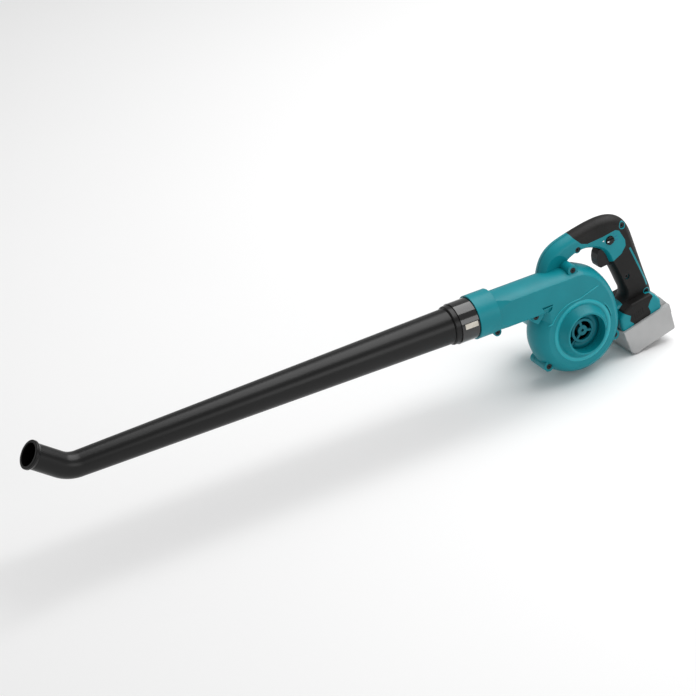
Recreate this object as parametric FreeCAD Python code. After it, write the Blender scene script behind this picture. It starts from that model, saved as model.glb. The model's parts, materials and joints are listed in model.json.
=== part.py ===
import FreeCAD, Part
import math
import os

# Cordless leaf blower with a long tapered nozzle, in millimetres.
# Frame: origin at the centre of the air inlet's mouth. The inlet faces -Y, the nozzle points to -X, +Z is up.
# The fan axis is the Y axis. The battery hangs under the rear of the handle and slides off rearwards.

# ---------------------------------------------------------------- driving dimensions
SCROLL_R = 70.0          # outer radius of the fan scroll where it is round
SCROLL_MID_Y = 43.5      # plane where the scroll and the outlet are fullest
SCROLL_NEAR_W = 29.5     # from that plane to the near face
SCROLL_FAR_W = 25.0      # from that plane to the far face
NEAR_EDGE = 15.0         # how far the rounded edge draws the scroll in at its near face
FAR_EDGE = 22.0
TONGUE_DEG = 150.0       # where the round part of the scroll starts, seen from the inlet side
TONGUE_STEP = 5.5        # from there up to the outlet's lower edge
OUTLET_HALF_H = 25.5     # half the outlet's height
OUTLET_NEAR_EDGE = 7.0   # how far the rounded edge draws the outlet in at its near face
OUTLET_FAR_EDGE = 16.0
PARTING_Y = 54.0         # joint plane of the two housing halves, and middle of the handle
WALL = 2.5               # housing wall

INLET_RIM_R = 31.5       # outside of the inlet cone at its mouth
INLET_BASE_R = 40.0      # outside of the inlet cone at the scroll
INLET_BORE_R = 29.0      # inlet throat
INLET_BORE_LEN = 12.0
THROAT_R = 28.4          # past the shoulder at the end of the inlet's bore
NOTCH_W = 5.0            # notch in the inlet's rim
NOTCH_LOW_Z = -4.5
NOTCH_DEPTH = 2.5
GUARD_RING_R = 17.8      # raised ring of the inlet guard
GUARD_HUB_R = 7.5
GUARD_FRONT_Y = 13.4     # how deep the guard's ring sits in the throat

COLLAR_R = 31.8          # outside of the nozzle collar
COLLAR_LEN = 32.0
COLLAR_MOUTH_X = -158.0
SLEEVE_R = 29.5          # outside of the nozzle's sleeve
SLEEVE_LEN = 40.0        # from the bead to the spigot's step
SPIGOT_R = 27.4          # the part of the sleeve that carries the bayonet lugs
SPIGOT_LEN = 12.0
SOCKET_DEPTH = 12.0      # how far the sleeve's full radius enters the collar
LUG_H = 1.8              # bayonet lug height
LUG_W = 5.0
LUG_HALF_DEG = 10.0
TWIST_DEG = 30.0         # nozzle turn from locked to unlocked
SEAL_THICK = 2.2
MARK_X = -181.0          # pale alignment mark on the sleeve
MARK_LEN = 20.0
MARK_W = 7.5
MARK_DEG = 8.0           # how far it sits above the level of the nozzle axis
MARK_DEPTH = 0.8
DUCT_R = 22.5            # air passage at the collar

PIPE_TIP_R = 18.0        # outside of the pipe at the bend
PIPE_ROOT_R = 25.6       # outside of the pipe at its bead
PIPE_WALL = 1.8
PIPE_BEND_X = -770.0     # where the axes of the straight pipe and of the tip meet
BEND_DEG = 38.0
BEND_R = 45.0            # radius of the bend's centre line
TIP_LEN = 63.0           # from the meeting of the axes to the mouth
PIPE_TAIL = 22.0         # how far the pipe reaches into its sleeve
BEAD_R = 28.0
BEAD_LEN = 9.0
LIP_R = 20.3
LIP_LEN = 4.0

IMPELLER_R = 54.0
IMPELLER_EYE_R = 25.0
IMPELLER_BACK_Y = 59.0   # near face of the impeller's back disc
IMPELLER_FRONT_Y = 30.0
BLADE_COUNT = 9
BLADE_THICK = 1.8
SHAFT_R = 2.5
MOTOR_R = 22.5
MOTOR_LEN = 48.0
BARREL_R = 37.0          # outside of the motor barrel
BARREL_LEN = 46.0        # from the scroll's far face to the vented cover
COVER_LEN = 30.0

HANDLE_HALF_W = 15.0
HANDLE_EDGE = 10.0       # how far the rounded edge draws the handle in at its sides
GRIP_SKIN = 1.6          # thickness of the overmould
SCOOP_BALL_R = 62.0      # hollow in the near face at the foot of the arch
SCOOP_DEPTH = 4.0
TRIGGER_HALF_W = 8.0
TRIGGER_TRAVEL = 7.0
DIAL_R = 6.5
DIAL_X = 73.5
DIAL_Z = 106.5

HANDLE_REACH = 70.0      # the handle is drawn with the scroll's rear at this x
HANDLE_DROP = 91.5       # and with the outlet's top at this z
RAIL_TILT_DEG = 13.5     # the battery rails rise to the rear by this much
RAIL_X = 105.0           # origin of the rail frame, on the bottom edge of the foot
RAIL_Z = -25.0
FOOT_HALF_W = 29.0
FOOT_FRONT = -34.0       # along the rails
FOOT_REAR = 34.0
FOOT_WALL = 3.0
FOOT_ROUND = 4.0         # rounding of the foot's upper edges
SLOT_HALF_W = 21.5       # rail slot between the foot's lips
LIP_THICK = 3.0
CHANNEL_TOP = 16.0
RAIL_GAP = 0.3
BATTERY_HALF_W = 33.0
BATTERY_BASE = -42.0     # underside that the battery rests on
BATTERY_SEAM = -14.0     # joint plane of the battery's two cases, across the rail frame
BATTERY_WALL = 2.5
CELL_R = 9.15
CELL_LEN = 65.0
CELL_PITCH = 18.8
CELL_X = -28.4           # front end of the cells
CELL_FLOOR = -40.2
ROOM_FRONT = -32.0       # the cells' room, along the rails
ROOM_REAR = 38.4
BATTERY_SCREW_Z = -39.5  # underside of the case screws' heads
LATCH_TRAVEL = 3.5

SCREW_HEAD_R = 4.0
SCREW_HEAD_H = 2.4
SCREW_SHANK_R = 1.9
SCREW_BITE = 7.0         # how far a housing screw enters the far half

RUN_GAP = 0.08           # radial running clearance
MOVE_GAP = 0.4           # clearance beside moving pieces

# ---------------------------------------------------------------- derived places
NEAR_Y = SCROLL_MID_Y - SCROLL_NEAR_W
FAR_Y = SCROLL_MID_Y + SCROLL_FAR_W
TONGUE_X = SCROLL_R * math.cos(math.radians(TONGUE_DEG))
OUTLET_LOW = SCROLL_R * math.sin(math.radians(TONGUE_DEG)) + TONGUE_STEP
OUTLET_Z = OUTLET_LOW + OUTLET_HALF_H
OUTLET_TOP = OUTLET_Z + OUTLET_HALF_H
HANDLE_DX = SCROLL_R - HANDLE_REACH
HANDLE_DZ = OUTLET_TOP - HANDLE_DROP
MOTOR_FRONT_Y = FAR_Y + 2.0
BARREL_END_Y = FAR_Y + BARREL_LEN
COVER_END_Y = BARREL_END_Y + COVER_LEN
COLLAR_ROOT_X = COLLAR_MOUTH_X + COLLAR_LEN
STEP_X = COLLAR_MOUTH_X + SOCKET_DEPTH
SPIGOT_END_X = STEP_X + SPIGOT_LEN
SEAL_X = SPIGOT_END_X + MOVE_GAP
DUCT_X = SEAL_X + SEAL_THICK
SLEEVE_X = STEP_X - SLEEVE_LEN
BEAD_X = SLEEVE_X - BEAD_LEN
TWO_SIDES = (-1, 1)
Vec = FreeCAD.Vector
ALONG_X = Vec(1, 0, 0)
ALONG_Y = Vec(0, 1, 0)

LUG_SCREW_R = SCROLL_R - 1.4     # circle of the screws in the lugs round the scroll
LUG_ROOT = 10.0                  # how far a lug's flat sides run in from its screw
FRONT_LUG = math.radians(218.5)
REAR_LUG = math.radians(-30.2)

# Housing screws: name, x, z, head plane y, boss radius
SCREWS = [
    ("collar", COLLAR_ROOT_X - 2.0, OUTLET_Z - SPIGOT_R + 0.9, 24.0, 6.0),
    ("tongue", TONGUE_X - 7.5, OUTLET_LOW + 3.0, 19.0, 6.2),
    ("scroll_front", LUG_SCREW_R * math.cos(FRONT_LUG), LUG_SCREW_R * math.sin(FRONT_LUG), 25.0, 7.6),
    ("scroll_top", -1.5, OUTLET_TOP + 1.0, 20.0, 7.6),
    ("scroll_rear", LUG_SCREW_R * math.cos(REAR_LUG), LUG_SCREW_R * math.sin(REAR_LUG), 28.5, 7.6),
    ("arch", 21.0 + HANDLE_DX, 109.5 + HANDLE_DZ, 41.0, 5.6),
    ("handle_top", 96.0 + HANDLE_DX, 122.0 + HANDLE_DZ, 41.0, 5.6),
    ("grip", 95.0 + HANDLE_DX, 42.0 + HANDLE_DZ, 41.0, 5.6),
    ("grip_rear", 124.5 + HANDLE_DX, 8.5 + HANDLE_DZ, 41.0, 5.6),
]

HANDLE_SCREWS = ("arch", "handle_top", "grip", "grip_rear")
RINGED_SCREWS = ("handle_top", "grip_rear")   # the housing shows as a ring round these, through the soft skin

# Side outline of the handle loop: arch, hand grip and its root, and the hand hole inside it
HANDLE_LOOP = [
    (-43, 74), (-37, 96), (-27, 112), (-12, 123), (5, 129), (22, 133), (39, 136.5), (56, 139), (73, 139.5),
    (88, 136.5), (100, 129.5), (109, 117), (115, 98), (121, 72), (127, 46), (133, 22), (136, -2), (126, -18),
    (100, -24), (72, -14), (44, 12), (8, 30), (-26, 42),
]
HAND_HOLE = [
    (-8, 80), (4, 95), (14, 100.5), (26, 103.5), (36, 103.5), (46, 101), (56, 96.5), (64, 89), (68.5, 79),
    (72, 68), (76.5, 57), (82, 42), (87, 27), (90, 14), (85, 5), (74, 3), (62, 14), (40, 40), (14, 64),
]
TRIGGER_SIDE = [
    (58.5, 94), (55, 88), (53.5, 81), (53.5, 74), (55, 68.5), (58.5, 66), (68, 67), (82, 69.5), (82, 91),
    (66, 96),
]
OVERMOULD_SIDE = [
    (8, 150), (17, 128), (27, 117), (37, 113.5), (62, 115.5), (84, 119), (90, 116), (98, 99), (98, 90),
    (90, 80), (70, 70), (60, 60), (80, 20), (84, 0), (142, 0), (130, 90), (125, 150),
]
# Long thin window in the soft skin, down the back of the hand grip
STRIP_SIDE = [
    (103, 84), (105.6, 85), (116.6, 54.5), (125.8, 29), (128, 18), (125.4, 17.6), (122.8, 28.5), (114, 53),
]


# ---------------------------------------------------------------- shape helpers
def cyl_y(radius, y0, y1, x=0.0, z=0.0):
    """Cylinder along Y."""
    return Part.makeCylinder(radius, y1 - y0, Vec(x, y0, z), ALONG_Y)


def cyl_x(radius, x0, x1, y=SCROLL_MID_Y, z=OUTLET_Z):
    """Cylinder along X, on the nozzle axis unless told otherwise."""
    return Part.makeCylinder(radius, x1 - x0, Vec(x0, y, z), ALONG_X)


def ring_y(outer, inner, y0, y1, x=0.0, z=0.0):
    return cyl_y(outer, y0, y1, x, z).cut(cyl_y(inner, y0 - 1, y1 + 1, x, z))


def cone_y(r0, r1, y0, y1):
    return Part.makeCone(r0, r1, y1 - y0, Vec(0, y0, 0), ALONG_Y)


def box(x0, x1, y0, y1, z0, z1):
    return Part.makeBox(x1 - x0, y1 - y0, z1 - z0, Vec(x0, y0, z0))


def mid_box(x0, x1, half_w, z0, z1):
    """Box centred on the parting plane."""
    return box(x0, x1, PARTING_Y - half_w, PARTING_Y + half_w, z0, z1)


def prism(points, y0, y1):
    """Polygon of (x, z) points, extruded along Y."""
    corners = [Vec(x, y0, z) for x, z in points]
    face = Part.Face(Part.makePolygon(corners + corners[:1]))
    return face.extrude(Vec(0, y1 - y0, 0))


def mid_prism(points, half_w):
    return prism(points, PARTING_Y - half_w, PARTING_Y + half_w)


def join(shapes):
    first = shapes[0]
    return first.fuse(shapes[1:]).removeSplitter()


def sector(radius, deg0, deg1, x0, x1):
    """Wedge of a cylinder on the nozzle axis, between two angles seen along +X from +Y towards +Z."""
    wedge = Part.makeCylinder(radius, x1 - x0, Vec(0, 0, 0), Vec(0, 0, 1), deg1 - deg0)
    wedge.rotate(Vec(0, 0, 0), Vec(0, 0, 1), deg0)
    wedge.rotate(Vec(0, 0, 0), Vec(1, 1, 1), 120)
    wedge.translate(Vec(x0, SCROLL_MID_Y, OUTLET_Z))
    return wedge


def on_handle(shape):
    """Move a shape of the handle to where the scroll and the outlet put the handle."""
    moved = shape.copy()
    moved.translate(Vec(HANDLE_DX, 0, HANDLE_DZ))
    return moved


def in_rail_frame(shape):
    """Move a shape drawn with x along the rails and z across them to its place under the handle."""
    moved = shape.copy()
    moved.rotate(Vec(0, 0, 0), ALONG_Y, -RAIL_TILT_DEG)
    moved.translate(Vec(RAIL_X, 0, RAIL_Z))
    return on_handle(moved)


def save(shape, node):
    """Write one sub-part; it has to be valid and closed."""
    if not shape.isValid():
        print("invalid", node)
    solids = shape.Solids
    if len(solids) == 1:
        shape = solids[0]
    print(node, "solids", len(solids), "cm3", round(shape.Volume / 1000.0, 2))
    shape.exportStep("parts/" + node + ".step")


# ---------------------------------------------------------------- scroll and handle forms
def scroll_ring(dy, grow, draw):
    """Outline of the scroll and outlet at one plane: grow is added all round, draw (0 to 1) rounds the edge."""
    y = SCROLL_MID_Y + dy
    round_edge = NEAR_EDGE if dy < 0 else FAR_EDGE
    outlet_edge = OUTLET_NEAR_EDGE if dy < 0 else OUTLET_FAR_EDGE
    radius = SCROLL_R + grow - round_edge * draw
    top = OUTLET_TOP + grow - outlet_edge * draw
    low = OUTLET_LOW - grow + outlet_edge * draw
    x_end = COLLAR_ROOT_X - 2 * WALL
    tongue_angle = math.radians(TONGUE_DEG)
    mid_angle = (tongue_angle + 2 * math.pi) / 2
    x_tongue = radius * math.cos(tongue_angle)
    round_start = Vec(x_tongue, y, radius * math.sin(tongue_angle))
    round_mid = Vec(radius * math.cos(mid_angle), y, radius * math.sin(mid_angle))
    round_end = Vec(radius, y, 0)
    top_start = Vec(0, y, top)
    growth = []
    for step in range(7):
        angle = math.radians(15 * step)
        growth.append(Vec(radius * math.cos(angle), y, top * math.sin(angle)))
    spiral = Part.BSplineCurve()
    spiral.interpolate(Points=growth, InitialTangent=Vec(0, 0, 1), FinalTangent=Vec(-1, 0, 0))
    edges = [
        Part.makeLine(top_start, Vec(x_end, y, top)),
        Part.makeLine(Vec(x_end, y, top), Vec(x_end, y, low)),
        Part.makeLine(Vec(x_end, y, low), Vec(x_tongue, y, low)),
        Part.makeLine(Vec(x_tongue, y, low), round_start),
        Part.Arc(round_start, round_mid, round_end).toShape(),
        spiral.toShape(),
    ]
    return Part.Wire(edges)


def rounded_levels(near_w, far_w):
    """Pairs of y offset and edge draw that follow a quarter ellipse to each side."""
    steep = math.radians(75)
    levels = []
    for share in (-1.0, -0.72, -0.38, 0.0, 0.38, 0.72, 1.0):
        width = near_w if share < 0 else far_w
        angle = share * steep
        levels.append((width * math.sin(angle) / math.sin(steep), (1 - math.cos(angle)) / (1 - math.cos(steep))))
    return levels


def scroll_form(grow):
    levels = rounded_levels(SCROLL_NEAR_W + grow, SCROLL_FAR_W + grow)
    return Part.makeLoft([scroll_ring(dy, grow, draw) for dy, draw in levels], True, False)


def outlet_rounding():
    """What is shaved off the outlet's corners where it runs into the round collar."""
    x0 = COLLAR_ROOT_X - 10
    x1 = x0 + 52
    cone = Part.makeCone(COLLAR_R - 2.2, COLLAR_R + 7, x1 - x0, Vec(x0, SCROLL_MID_Y, OUTLET_Z), ALONG_X)
    return cyl_x(COLLAR_R * 2, x0, x1).cut(cone)


def loop_ring(points, y, inset):
    """Closed smooth curve through (x, z) points, moved inwards by inset (outwards if negative)."""
    base = Part.BSplineCurve()
    base.interpolate(Points=[Vec(x, 0, z) for x, z in points], PeriodicFlag=True)
    first, last = base.FirstParameter, base.LastParameter
    count = 3 * len(points)
    moved = []
    for step in range(count):
        at = first + (last - first) * step / count
        here = base.value(at)
        run = base.tangent(at)[0]
        moved.append(Vec(here.x + run.z * inset, y, here.z - run.x * inset))
    curve = Part.BSplineCurve()
    curve.interpolate(Points=moved, PeriodicFlag=True)
    return Part.Wire([curve.toShape()])


def pillow(points, half_w, edge, skin=0.0):
    """Slab along Y with a smooth outline and rounded rims; skin shrinks it all round."""
    wires = []
    for dy, draw in rounded_levels(half_w - skin, half_w - skin):
        wires.append(loop_ring(points, PARTING_Y + dy, skin + edge * draw))
    return Part.makeLoft(wires, True, False)


def handle_form(skin):
    body = pillow(HANDLE_LOOP, HANDLE_HALF_W, HANDLE_EDGE, skin)
    hole = pillow(HAND_HOLE, HANDLE_HALF_W + 1.0 + skin, -HANDLE_EDGE * 0.7, -skin)
    return on_handle(body.cut(hole))


# ---------------------------------------------------------------- housing
def foot_form(skin):
    """Foot under the grip, with the battery rails; drawn in the rail frame, less a skin on sides and top."""
    side = [
        (FOOT_FRONT, 0), (FOOT_REAR, 0), (FOOT_REAR + 3, 12), (FOOT_REAR - 2, 23 - skin),
        (FOOT_REAR - 9, 28 - skin),
        (-8, 31 - skin), (-22, 28 - skin), (FOOT_FRONT + 2, 20 - skin),
    ]
    half = FOOT_HALF_W - skin
    block = mid_prism(side, half)
    edges = []
    for edge in block.Edges:
        on_side = abs(abs(edge.BoundBox.Center.y - PARTING_Y) - half) < 0.01
        if on_side and edge.BoundBox.Center.z > 1:
            edges.append(edge)
    return block.makeFillet(FOOT_ROUND, edges)


def foot_skin():
    """Soft saddle over the foot's middle, joined to the skin of the grip; drawn in the rail frame."""
    layer = foot_form(0.0).cut(foot_form(GRIP_SKIN))
    side = [
        (-14, -3), (13, -3), (16, 4), (15, 13), (21, 20), (27, 24), (27, 40), (-30, 40), (-25, 27), (-15, 16),
        (-19, 9), (-15, 3),
    ]
    return layer.common(mid_prism(side, FOOT_HALF_W + 5))


def rail_channel():
    """Space in the foot for the battery's rails, open to the rear; drawn in the rail frame."""
    rear = FOOT_REAR + 20
    slot = mid_box(FOOT_FRONT + FOOT_WALL, rear, SLOT_HALF_W, -1, CHANNEL_TOP)
    wide = mid_box(FOOT_FRONT + FOOT_WALL, rear, FOOT_HALF_W - FOOT_WALL, LIP_THICK, CHANNEL_TOP)
    pocket = mid_box(23.5, rear, 9.0, CHANNEL_TOP - 1, CHANNEL_TOP + 3.5)
    return join([slot, wide, pocket])


def inlet_cone():
    """Cone with a low step round its foot and a small notch in its rim, in front of the bore's wall."""
    cone = cone_y(INLET_RIM_R, INLET_BASE_R, 0, NEAR_Y)
    step = cyl_y(INLET_BASE_R + 3.4, NEAR_Y - 1.2, NEAR_Y + 1)
    cone = cone.fuse([step, cyl_y(INLET_BASE_R, NEAR_Y, NEAR_Y + WALL)]).removeSplitter()
    notch = box(INLET_BORE_R + 0.8, INLET_RIM_R + 4, -1, NOTCH_DEPTH, NOTCH_LOW_Z, NOTCH_LOW_Z + NOTCH_W)
    return cone.cut(notch)


def throat():
    """Stepped passage from the inlet's mouth into the scroll."""
    return cyl_y(INLET_BORE_R, -1, INLET_BORE_LEN).fuse(cyl_y(THROAT_R, 0, NEAR_Y + WALL + 1))


def screw_boss(spot):
    """Boss round a housing screw; the lugs on the scroll also run inwards with flat sides."""
    name, x, z, head_y, radius = spot
    back = PARTING_Y + SCREW_BITE + 3
    boss = cyl_y(radius, head_y, back, x, z)
    if not name.startswith("scroll"):
        return boss
    away = math.hypot(x, z)
    in_x, in_z = -x / away, -z / away
    side_x, side_z = in_z * radius, -in_x * radius
    deep_x, deep_z = x + in_x * LUG_ROOT, z + in_z * LUG_ROOT
    flats = [(x + side_x, z + side_z), (deep_x + side_x, deep_z + side_z), (deep_x - side_x, deep_z - side_z)]
    flats.append((x - side_x, z - side_z))
    return boss.fuse(prism(flats, head_y, back)).removeSplitter()


def screw_hole(spot):
    """Seat for one screw: head recess, clearance hole in the near half and a tight hole in the far half."""
    name, x, z, head_y, radius = spot
    recess = cyl_y(SCREW_HEAD_R + 0.4, head_y - 3, head_y + SCREW_HEAD_H, x, z)
    clearance = cyl_y(SCREW_SHANK_R + 0.2, head_y, PARTING_Y, x, z)
    thread = cyl_y(SCREW_SHANK_R, PARTING_Y, PARTING_Y + SCREW_BITE, x, z)
    return recess.fuse([clearance, thread])


def tongue_web():
    """Web that fills the corner between the outlet and the scroll round the tongue screw."""
    side = [(-20.5, 4), (-12.5, -4), (-4.5, -10), (11.5, 4), (1.5, 16), (-16.5, 10)]
    side = [(TONGUE_X + x, OUTLET_LOW + z) for x, z in side]
    return prism(side, 21.0, PARTING_Y + SCREW_BITE)


def tongue_recess():
    """Shallow recess with a rib, beside the tongue screw."""
    x, z = TONGUE_X, OUTLET_LOW
    pocket_side = [(0.5, 16.5), (5, 8), (10, 4.5), (16, 8.5), (18.5, 15.5)]
    pocket_side = [(x + side_x, z + side_z) for side_x, side_z in pocket_side]
    pocket = prism(pocket_side, NEAR_Y - 1, NEAR_Y + 2.2)
    rib_side = [(x + 2, z + 11.2), (x + 19, z + 12.5), (x + 19, z + 14), (x + 2, z + 12.7)]
    rib = prism(rib_side, NEAR_Y - 2, NEAR_Y + 3)
    return pocket.cut(rib)


def nozzle_socket():
    """Bore of the collar with the bayonet's groove and entry slots."""
    mouth = cyl_x(SLEEVE_R + RUN_GAP, COLLAR_MOUTH_X - 1, STEP_X)
    throat = cyl_x(SPIGOT_R + RUN_GAP, STEP_X - 1, DUCT_X)
    duct = cyl_x(DUCT_R, DUCT_X - 1, COLLAR_ROOT_X + 14)
    parts = [mouth, throat, duct]
    reach = SPIGOT_R + LUG_H + MOVE_GAP
    half = LUG_HALF_DEG + 2
    lug_x = STEP_X + 4
    for start in (90, 270):
        lug_x0, lug_x1 = lug_x - MOVE_GAP, lug_x + LUG_W + MOVE_GAP
        parts.append(sector(reach, start - half, start + TWIST_DEG + half, lug_x0, lug_x1))
        parts.append(sector(reach, start + TWIST_DEG - half, start + TWIST_DEG + half, STEP_X - 1, lug_x))
    return parts[0].fuse(parts[1:])


def barrel_slots():
    """Slots through the motor barrel, round the motor."""
    slots = []
    for step in range(12):
        slot = box(BARREL_R - 6, BARREL_R + 3, BARREL_END_Y - 26, BARREL_END_Y - 8, -1.6, 1.6)
        slot.rotate(Vec(0, 0, 0), ALONG_Y, 30 * step + 15)
        slots.append(slot)
    return slots[0].fuse(slots[1:])


def trigger_path():
    """Slot in the handle that the trigger moves in."""
    half = TRIGGER_HALF_W + MOVE_GAP
    side = [
        (50, 101), (46, 88), (46, 64), (56, 62.5), (70, 64.8), (TRIGGER_SIDE[7][0] + TRIGGER_TRAVEL + 2, 67.5),
        (TRIGGER_SIDE[8][0] + TRIGGER_TRAVEL + 2, 92.5), (69, 97.5),
    ]
    return on_handle(mid_prism(side, half))


def handle_cavity():
    """Room in the handle for the switch, the control board and the leads."""
    switch = mid_box(82, 106, 10.0, 62, 104)
    board = mid_box(96, 112, 9.0, 8, 62)
    lead_side = [(84, 100), (30, 112), (10, 104), (-8, 84), (4, 82), (16, 98), (40, 104), (84, 90)]
    return on_handle(switch.fuse([board, mid_prism(lead_side, 6.0)]))


def dial_seat():
    return on_handle(cyl_y(DIAL_R + MOVE_GAP, PARTING_Y - HANDLE_HALF_W - 2, PARTING_Y - 5.0, DIAL_X, DIAL_Z))


def motor_room():
    room = cyl_y(BARREL_R - WALL, FAR_Y, BARREL_END_Y + 1)
    seat = cyl_y(MOTOR_R + 1.0, FAR_Y - WALL - 1, FAR_Y + 1)
    return room.fuse(seat)


def skin_window(spot):
    """Round window in the soft skin over a handle screw; the ringed ones leave the boss showing."""
    name, x, z, head_y, radius = spot
    window_r = radius if name in RINGED_SCREWS else SCREW_HEAD_R + 0.4
    return cyl_y(window_r, PARTING_Y - HANDLE_HALF_W - 5, PARTING_Y, x, z)


def arch_scoop():
    """Ball whose cap hollows the near face at the foot of the arch."""
    ball = Part.makeSphere(SCOOP_BALL_R)
    ball.translate(Vec(-17.0, PARTING_Y - HANDLE_HALF_W + SCOOP_DEPTH - SCOOP_BALL_R, 91.0))
    return on_handle(ball)


def overmould_layer():
    """Soft skin on the handle: the outer layer of the handle inside the overmould's outline."""
    layer = handle_form(0.0).cut(handle_form(GRIP_SKIN))
    layer = layer.common(on_handle(mid_prism(OVERMOULD_SIDE, HANDLE_HALF_W + 5)))
    layer = layer.cut(in_rail_frame(foot_form(0.0)))
    saddle = in_rail_frame(foot_skin()).cut(handle_form(GRIP_SKIN))
    layer = layer.fuse(saddle).removeSplitter()
    keep_clear = [skin_window(spot) for spot in SCREWS if spot[0] in HANDLE_SCREWS]
    keep_clear += [on_handle(mid_prism(STRIP_SIDE, HANDLE_HALF_W + 5)), trigger_path()]
    return layer.cut(keep_clear)


def scroll_shell():
    """Hollow scroll and outlet with their screw bosses."""
    solid = scroll_form(0.0).cut(outlet_rounding())
    air_room = scroll_form(-WALL).common(box(COLLAR_ROOT_X + 12, 300, -50, 300, -200, 300))
    backing = box(TONGUE_X - 2, TONGUE_X + 21, NEAR_Y + 1, NEAR_Y + WALL + 2, OUTLET_LOW + 2, OUTLET_LOW + 19)
    air_room = air_room.cut(backing)
    shell = solid
    for opening in (air_room, throat(), motor_room(), tongue_recess()):
        shell = shell.cut(opening)
    for boss in [screw_boss(spot) for spot in SCREWS if spot[0] not in HANDLE_SCREWS] + [tongue_web()]:
        shell = shell.fuse(boss)
    return shell


def handle_block():
    """Handle loop and foot, up to the scroll's outside."""
    block = handle_form(0.0).fuse(in_rail_frame(foot_form(0.0))).cut(scroll_form(0.0).cut(outlet_rounding()))
    block = block.cut(arch_scoop())
    for spot in SCREWS:
        if spot[0] in HANDLE_SCREWS:
            block = block.fuse(screw_boss(spot))
    return block


def whole_housing(layer):
    """Both housing halves as one body, before it is split at the parting plane."""
    barrel = cyl_y(BARREL_R, FAR_Y - 1, BARREL_END_Y).cut([motor_room(), barrel_slots()])
    collar = cyl_x(COLLAR_R, COLLAR_MOUTH_X, COLLAR_ROOT_X)
    body = scroll_shell().fuse([handle_block(), inlet_cone().cut(throat()), barrel, collar])
    rooms = [screw_hole(spot) for spot in SCREWS]
    rooms += [nozzle_socket(), trigger_path(), handle_cavity(), dial_seat()]
    rooms += [in_rail_frame(rail_channel()), layer]
    for room in rooms:
        body = body.cut(room)
    return body


def housing():
    layer = overmould_layer()
    whole = whole_housing(layer)
    near_space = box(-300, 300, -50, PARTING_Y, -200, 300)
    far_space = box(-300, 300, PARTING_Y, 300, -200, 300)
    for side, space in (("near", near_space), ("far", far_space)):
        save(biggest(whole.common(space)), "housing_" + side)
        save(biggest(layer.common(space)), "grip_overmould_" + side)


def biggest(shape):
    """The main solid of a shape, without crumbs left by the cuts."""
    solids = sorted(shape.Solids, key=lambda solid: -solid.Volume)
    for extra in solids[1:]:
        print("  dropped crumb mm3", round(extra.Volume, 1))
    return solids[0]


def housing_screws():
    for spot in SCREWS:
        name, x, z, head_y, radius = spot
        head = cyl_y(SCREW_HEAD_R, head_y, head_y + SCREW_HEAD_H, x, z)
        shank = cyl_y(SCREW_SHANK_R, head_y + SCREW_HEAD_H - 0.5, PARTING_Y + SCREW_BITE - 1, x, z)
        socket = cyl_y(1.5, head_y - 1, head_y + 1.6, x, z)
        save(head.fuse(shank).removeSplitter().cut(socket), "screw_" + name)


# ---------------------------------------------------------------- air path
def inlet_guard():
    """Guard in the throat: a raised ring with hub and spokes, on a seat ring with three legs."""
    y0 = GUARD_FRONT_Y
    ring_in = GUARD_RING_R - 3.6
    pieces = [
        ring_y(GUARD_RING_R, ring_in, y0, y0 + 4),
        ring_y(GUARD_HUB_R, 2.2, y0 + 0.6, y0 + 4),
        ring_y(THROAT_R, THROAT_R - 2.2, y0 + 4, y0 + 7),
    ]
    for angle in (100, 225, 345):
        spoke = box(GUARD_HUB_R - 1, ring_in + 1, y0 + 0.8, y0 + 4, -1.7, 1.7)
        leg = box(ring_in + 0.8, THROAT_R - 1, y0 + 3.0, y0 + 7, -1.8, 1.8)
        for bar in (spoke, leg):
            bar.rotate(Vec(0, 0, 0), ALONG_Y, -angle)
            pieces.append(bar)
    save(join(pieces), "inlet_guard")


def blade(start_deg):
    """One backward-curved blade of the impeller."""
    inner = IMPELLER_EYE_R
    outer = IMPELLER_R - 1.0
    sweep = 38.0

    def at(radius, degrees):
        angle = math.radians(degrees)
        return Vec(radius * math.cos(angle), IMPELLER_FRONT_Y, radius * math.sin(angle))

    thick_deg = math.degrees(BLADE_THICK / inner)
    thin_deg = math.degrees(BLADE_THICK / outer)
    mid_deg = math.degrees(BLADE_THICK / ((inner + outer) / 2))
    mid = (inner + outer) / 2
    front = Part.Arc(at(inner, start_deg), at(mid, start_deg + 0.62 * sweep), at(outer, start_deg + sweep))
    back = Part.Arc(
        at(outer, start_deg + sweep + thin_deg),
        at(mid, start_deg + 0.62 * sweep + mid_deg),
        at(inner, start_deg + thick_deg),
    )
    edges = [front.toShape(), Part.makeLine(front.EndPoint, back.StartPoint), back.toShape()]
    edges.append(Part.makeLine(back.EndPoint, front.StartPoint))
    return Part.Face(Part.Wire(edges)).extrude(Vec(0, IMPELLER_BACK_Y - IMPELLER_FRONT_Y + 0.5, 0))


def impeller():
    pieces = [
        cyl_y(IMPELLER_R, IMPELLER_BACK_Y, IMPELLER_BACK_Y + 2),
        cyl_y(8.0, IMPELLER_FRONT_Y + 4, IMPELLER_BACK_Y + 4),
        cone_y(8.0, 16.0, IMPELLER_FRONT_Y + 12, IMPELLER_BACK_Y + 1),
    ]
    for step in range(BLADE_COUNT):
        pieces.append(blade(360.0 * step / BLADE_COUNT))
    wheel = pieces[0].fuse(pieces[1:])
    eye_relief = cone_y(IMPELLER_EYE_R + 14, IMPELLER_EYE_R + 1, IMPELLER_FRONT_Y - 1, IMPELLER_FRONT_Y + 8)
    hub_guard = cyl_y(10.0, IMPELLER_FRONT_Y - 2, IMPELLER_FRONT_Y + 9)
    wheel = wheel.cut(eye_relief.cut(hub_guard)).cut(cyl_y(SHAFT_R, 0, 90))
    save(wheel, "impeller")


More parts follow.
